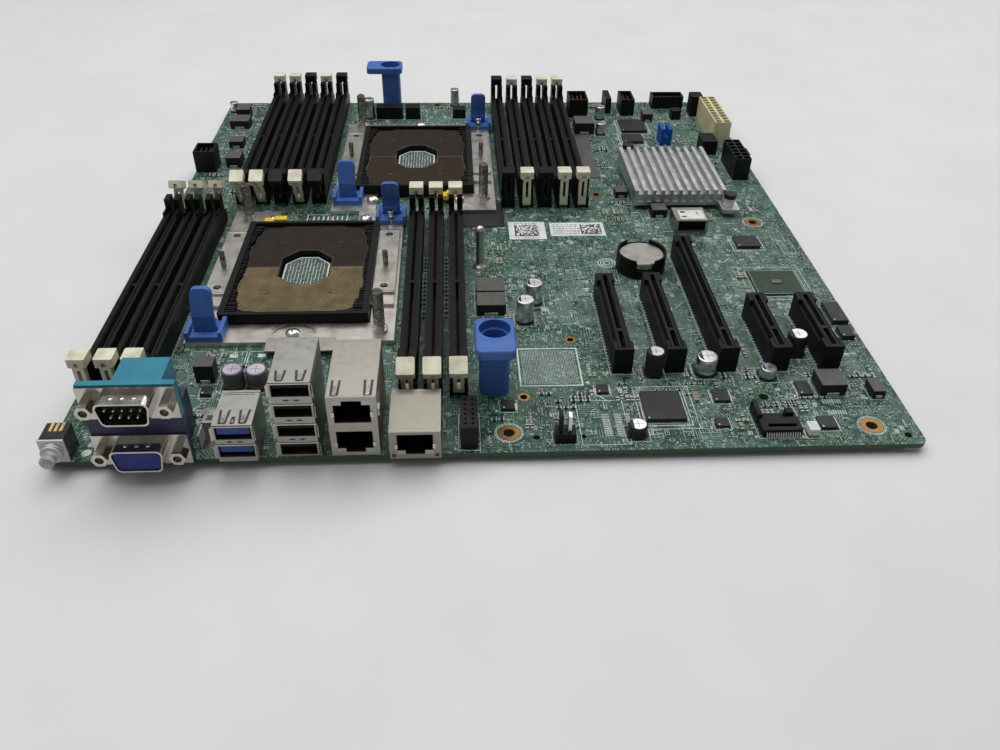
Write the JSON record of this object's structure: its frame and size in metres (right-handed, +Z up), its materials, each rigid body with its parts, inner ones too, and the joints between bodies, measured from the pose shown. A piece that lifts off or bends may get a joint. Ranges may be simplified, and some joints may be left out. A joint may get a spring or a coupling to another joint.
{
  "type": "server motherboard",
  "caption": "Two-socket server motherboard with memory sockets and hinged latches, expansion slots, finned chipset heatsink, rear ports and blue lifting handles.",
  "frame": {"origin": "axis of the front right mounting hole, on the board's underside", "axes": "+X along the port edge to the right, +Y from the port edge to the back, +Z up out of the component side"},
  "size_m": [0.3048, 0.3393, 0.0381],
  "materials": {
    "board_green": "green solder mask with lighter tracks and white printed lines",
    "black_plastic": "moulded black nylon, slight sheen",
    "white_plastic": "ivory moulded nylon",
    "blue_plastic": "blue moulded plastic, satin",
    "teal_plastic": "teal and dark blue moulded plastic",
    "clear_plastic": "clear plunger",
    "steel": "stamped steel, satin nickel",
    "bright_steel": "bright nickel plate",
    "tinned_steel": "tinned stamped sheet",
    "aluminium": "extruded aluminium, matt",
    "dark_ferrite": "pressed ferrite block",
    "can_aluminium": "aluminium can with a dark sleeve"
  },
  "bodies": {
    "board": {"circuit_board": "board_green", "memory_sockets_front": "black_plastic", "memory_sockets_rear": "black_plastic", "cpu_sockets": "black_plastic", "bolster_plates": "steel", "cpu_backplates": "steel", "socket_posts_and_screws": "bright_steel", "clip_bases": "blue_plastic", "pcie_slots": "black_plastic", "battery_holder": "black_plastic", "chipset_heatsink": "aluminium", "heatsink_push_pins": "black_plastic", "serial_vga_housing": "teal_plastic", "dsub_shells": "bright_steel", "port_cages": "tinned_steel", "port_inserts": "black_plastic", "id_button_housing": "black_plastic", "tray_handles": "blue_plastic", "cable_connectors": "black_plastic", "chips": "black_plastic", "inductors": "dark_ferrite", "capacitors": "can_aluminium"},
    "latch_a1_front": {"memory_latch_a1_front": "white_plastic"},
    "latch_a1_back": {"memory_latch_a1_back": "white_plastic"},
    "latch_a2_front": {"memory_latch_a2_front": "white_plastic"},
    "latch_a2_back": {"memory_latch_a2_back": "white_plastic"},
    "latch_a3_front": {"memory_latch_a3_front": "white_plastic"},
    "latch_a3_back": {"memory_latch_a3_back": "white_plastic"},
    "latch_b1_front": {"memory_latch_b1_front": "white_plastic"},
    "latch_b1_back": {"memory_latch_b1_back": "white_plastic"},
    "latch_b2_front": {"memory_latch_b2_front": "white_plastic"},
    "latch_b2_back": {"memory_latch_b2_back": "white_plastic"},
    "latch_b3_front": {"memory_latch_b3_front": "white_plastic"},
    "latch_b3_back": {"memory_latch_b3_back": "white_plastic"},
    "latch_c1_front": {"memory_latch_c1_front": "white_plastic"},
    "latch_c1_back": {"memory_latch_c1_back": "white_plastic"},
    "latch_c2_front": {"memory_latch_c2_front": "white_plastic"},
    "latch_c2_back": {"memory_latch_c2_back": "white_plastic"},
    "latch_c3_front": {"memory_latch_c3_front": "black_plastic"},
    "latch_c3_back": {"memory_latch_c3_back": "black_plastic"},
    "latch_c4_front": {"memory_latch_c4_front": "white_plastic"},
    "latch_c4_back": {"memory_latch_c4_back": "white_plastic"},
    "latch_c5_front": {"memory_latch_c5_front": "black_plastic"},
    "latch_c5_back": {"memory_latch_c5_back": "black_plastic"},
    "latch_d1_front": {"memory_latch_d1_front": "black_plastic"},
    "latch_d1_back": {"memory_latch_d1_back": "black_plastic"},
    "latch_d2_front": {"memory_latch_d2_front": "white_plastic"},
    "latch_d2_back": {"memory_latch_d2_back": "white_plastic"},
    "latch_d3_front": {"memory_latch_d3_front": "black_plastic"},
    "latch_d3_back": {"memory_latch_d3_back": "black_plastic"},
    "latch_d4_front": {"memory_latch_d4_front": "white_plastic"},
    "latch_d4_back": {"memory_latch_d4_back": "white_plastic"},
    "latch_d5_front": {"memory_latch_d5_front": "white_plastic"},
    "latch_d5_back": {"memory_latch_d5_back": "white_plastic"},
    "clip_front_left": {"retention_clip_front_left": "blue_plastic"},
    "clip_front_right": {"retention_clip_front_right": "blue_plastic"},
    "clip_rear_left": {"retention_clip_rear_left": "blue_plastic"},
    "clip_rear_right": {"retention_clip_rear_right": "blue_plastic"},
    "coin_cell": {"coin_cell": "bright_steel"},
    "id_button": {"id_button_cap": "clear_plastic"}
  },
  "joints": [
    {"name": "latch_a1_front_hinge", "type": "hinge", "parent": "board", "child": "latch_a1_front", "pos_m": [-0.28259, 0.02254, 0.0042], "axis": [1, 0, 0], "range_deg": [0, 28]},
    {"name": "latch_a1_back_hinge", "type": "hinge", "parent": "board", "child": "latch_a1_back", "pos_m": [-0.28259, 0.16114, 0.0042], "axis": [-1, 0, 0], "range_deg": [-28, 0]},
    {"name": "latch_a2_front_hinge", "type": "hinge", "parent": "board", "child": "latch_a2_front", "pos_m": [-0.27309, 0.02254, 0.0042], "axis": [1, 0, 0], "range_deg": [0, 28]},
    {"name": "latch_a2_back_hinge", "type": "hinge", "parent": "board", "child": "latch_a2_back", "pos_m": [-0.27309, 0.16114, 0.0042], "axis": [-1, 0, 0], "range_deg": [-28, 0]},
    {"name": "latch_a3_front_hinge", "type": "hinge", "parent": "board", "child": "latch_a3_front", "pos_m": [-0.26359, 0.02254, 0.0042], "axis": [1, 0, 0], "range_deg": [0, 28]},
    {"name": "latch_a3_back_hinge", "type": "hinge", "parent": "board", "child": "latch_a3_back", "pos_m": [-0.26359, 0.16114, 0.0042], "axis": [-1, 0, 0], "range_deg": [-28, 0]},
    {"name": "latch_b1_front_hinge", "type": "hinge", "parent": "board", "child": "latch_b1_front", "pos_m": [-0.16699, 0.02254, 0.0042], "axis": [1, 0, 0], "range_deg": [-28, 0]},
    {"name": "latch_b1_back_hinge", "type": "hinge", "parent": "board", "child": "latch_b1_back", "pos_m": [-0.16699, 0.16114, 0.0042], "axis": [-1, 0, 0], "range_deg": [0, 28]},
    {"name": "latch_b2_front_hinge", "type": "hinge", "parent": "board", "child": "latch_b2_front", "pos_m": [-0.15759, 0.02254, 0.0042], "axis": [1, 0, 0], "range_deg": [-28, 0]},
    {"name": "latch_b2_back_hinge", "type": "hinge", "parent": "board", "child": "latch_b2_back", "pos_m": [-0.15759, 0.16114, 0.0042], "axis": [-1, 0, 0], "range_deg": [0, 28]},
    {"name": "latch_b3_front_hinge", "type": "hinge", "parent": "board", "child": "latch_b3_front", "pos_m": [-0.14819, 0.02254, 0.0042], "axis": [1, 0, 0], "range_deg": [-28, 0]},
    {"name": "latch_b3_back_hinge", "type": "hinge", "parent": "board", "child": "latch_b3_back", "pos_m": [-0.14819, 0.16114, 0.0042], "axis": [-1, 0, 0], "range_deg": [0, 28]},
    {"name": "latch_c1_front_hinge", "type": "hinge", "parent": "board", "child": "latch_c1_front", "pos_m": [-0.25549, 0.17974, 0.0042], "axis": [1, 0, 0], "range_deg": [-28, 0]},
    {"name": "latch_c1_back_hinge", "type": "hinge", "parent": "board", "child": "latch_c1_back", "pos_m": [-0.25549, 0.31834, 0.0042], "axis": [-1, 0, 0], "range_deg": [0, 28]},
    {"name": "latch_c2_front_hinge", "type": "hinge", "parent": "board", "child": "latch_c2_front", "pos_m": [-0.24599, 0.17974, 0.0042], "axis": [1, 0, 0], "range_deg": [-28, 0]},
    {"name": "latch_c2_back_hinge", "type": "hinge", "parent": "board", "child": "latch_c2_back", "pos_m": [-0.24599, 0.31834, 0.0042], "axis": [-1, 0, 0], "range_deg": [0, 28]},
    {"name": "latch_c3_front_hinge", "type": "hinge", "parent": "board", "child": "latch_c3_front", "pos_m": [-0.23649, 0.17974, 0.0042], "axis": [1, 0, 0], "range_deg": [-28, 0]},
    {"name": "latch_c3_back_hinge", "type": "hinge", "parent": "board", "child": "latch_c3_back", "pos_m": [-0.23649, 0.31834, 0.0042], "axis": [-1, 0, 0], "range_deg": [0, 28]},
    {"name": "latch_c4_front_hinge", "type": "hinge", "parent": "board", "child": "latch_c4_front", "pos_m": [-0.22699, 0.17974, 0.0042], "axis": [1, 0, 0], "range_deg": [-28, 0]},
    {"name": "latch_c4_back_hinge", "type": "hinge", "parent": "board", "child": "latch_c4_back", "pos_m": [-0.22699, 0.31834, 0.0042], "axis": [-1, 0, 0], "range_deg": [0, 28]},
    {"name": "latch_c5_front_hinge", "type": "hinge", "parent": "board", "child": "latch_c5_front", "pos_m": [-0.21749, 0.17974, 0.0042], "axis": [1, 0, 0], "range_deg": [-28, 0]},
    {"name": "latch_c5_back_hinge", "type": "hinge", "parent": "board", "child": "latch_c5_back", "pos_m": [-0.21749, 0.31834, 0.0042], "axis": [-1, 0, 0], "range_deg": [0, 28]},
    {"name": "latch_d1_front_hinge", "type": "hinge", "parent": "board", "child": "latch_d1_front", "pos_m": [-0.12159, 0.17354, 0.0042], "axis": [1, 0, 0], "range_deg": [0, 28]},
    {"name": "latch_d1_back_hinge", "type": "hinge", "parent": "board", "child": "latch_d1_back", "pos_m": [-0.12159, 0.31214, 0.0042], "axis": [-1, 0, 0], "range_deg": [0, 28]},
    {"name": "latch_d2_front_hinge", "type": "hinge", "parent": "board", "child": "latch_d2_front", "pos_m": [-0.11219, 0.17354, 0.0042], "axis": [1, 0, 0], "range_deg": [0, 28]},
    {"name": "latch_d2_back_hinge", "type": "hinge", "parent": "board", "child": "latch_d2_back", "pos_m": [-0.11219, 0.31214, 0.0042], "axis": [-1, 0, 0], "range_deg": [0, 28]},
    {"name": "latch_d3_front_hinge", "type": "hinge", "parent": "board", "child": "latch_d3_front", "pos_m": [-0.10279, 0.17354, 0.0042], "axis": [1, 0, 0], "range_deg": [0, 28]},
    {"name": "latch_d3_back_hinge", "type": "hinge", "parent": "board", "child": "latch_d3_back", "pos_m": [-0.10279, 0.31214, 0.0042], "axis": [-1, 0, 0], "range_deg": [0, 28]},
    {"name": "latch_d4_front_hinge", "type": "hinge", "parent": "board", "child": "latch_d4_front", "pos_m": [-0.09339, 0.17354, 0.0042], "axis": [1, 0, 0], "range_deg": [0, 28]},
    {"name": "latch_d4_back_hinge", "type": "hinge", "parent": "board", "child": "latch_d4_back", "pos_m": [-0.09339, 0.31214, 0.0042], "axis": [-1, 0, 0], "range_deg": [0, 28]},
    {"name": "latch_d5_front_hinge", "type": "hinge", "parent": "board", "child": "latch_d5_front", "pos_m": [-0.08399, 0.17354, 0.0042], "axis": [1, 0, 0], "range_deg": [0, 28]},
    {"name": "latch_d5_back_hinge", "type": "hinge", "parent": "board", "child": "latch_d5_back", "pos_m": [-0.08399, 0.31214, 0.0042], "axis": [-1, 0, 0], "range_deg": [0, 28]},
    {"name": "clip_front_left_flex", "type": "hinge", "parent": "board", "child": "clip_front_left", "pos_m": [-0.24829, 0.06049, 0.0059], "axis": [1, 0, 0], "range_deg": [0, 8], "stiffness_Nm_per_rad": 0.5},
    {"name": "clip_front_right_flex", "type": "hinge", "parent": "board", "child": "clip_front_right", "pos_m": [-0.17969, 0.15999, 0.0059], "axis": [-1, 0, 0], "range_deg": [0, 8], "stiffness_Nm_per_rad": 0.5},
    {"name": "clip_rear_left_flex", "type": "hinge", "parent": "board", "child": "clip_rear_left", "pos_m": [-0.20249, 0.17839, 0.0059], "axis": [1, 0, 0], "range_deg": [0, 8], "stiffness_Nm_per_rad": 0.5},
    {"name": "clip_rear_right_flex", "type": "hinge", "parent": "board", "child": "clip_rear_right", "pos_m": [-0.13389, 0.27789, 0.0059], "axis": [-1, 0, 0], "range_deg": [0, 8], "stiffness_Nm_per_rad": 0.5},
    {"name": "coin_cell_lift", "type": "slide", "parent": "board", "child": "coin_cell", "axis": [0, 0, 1], "range_m": [0, 0.01]},
    {"name": "id_button_press", "type": "slide", "parent": "board", "child": "id_button", "axis": [0, 1, 0], "range_m": [0, 0.001], "stiffness_N_per_m": 400}
  ]
}
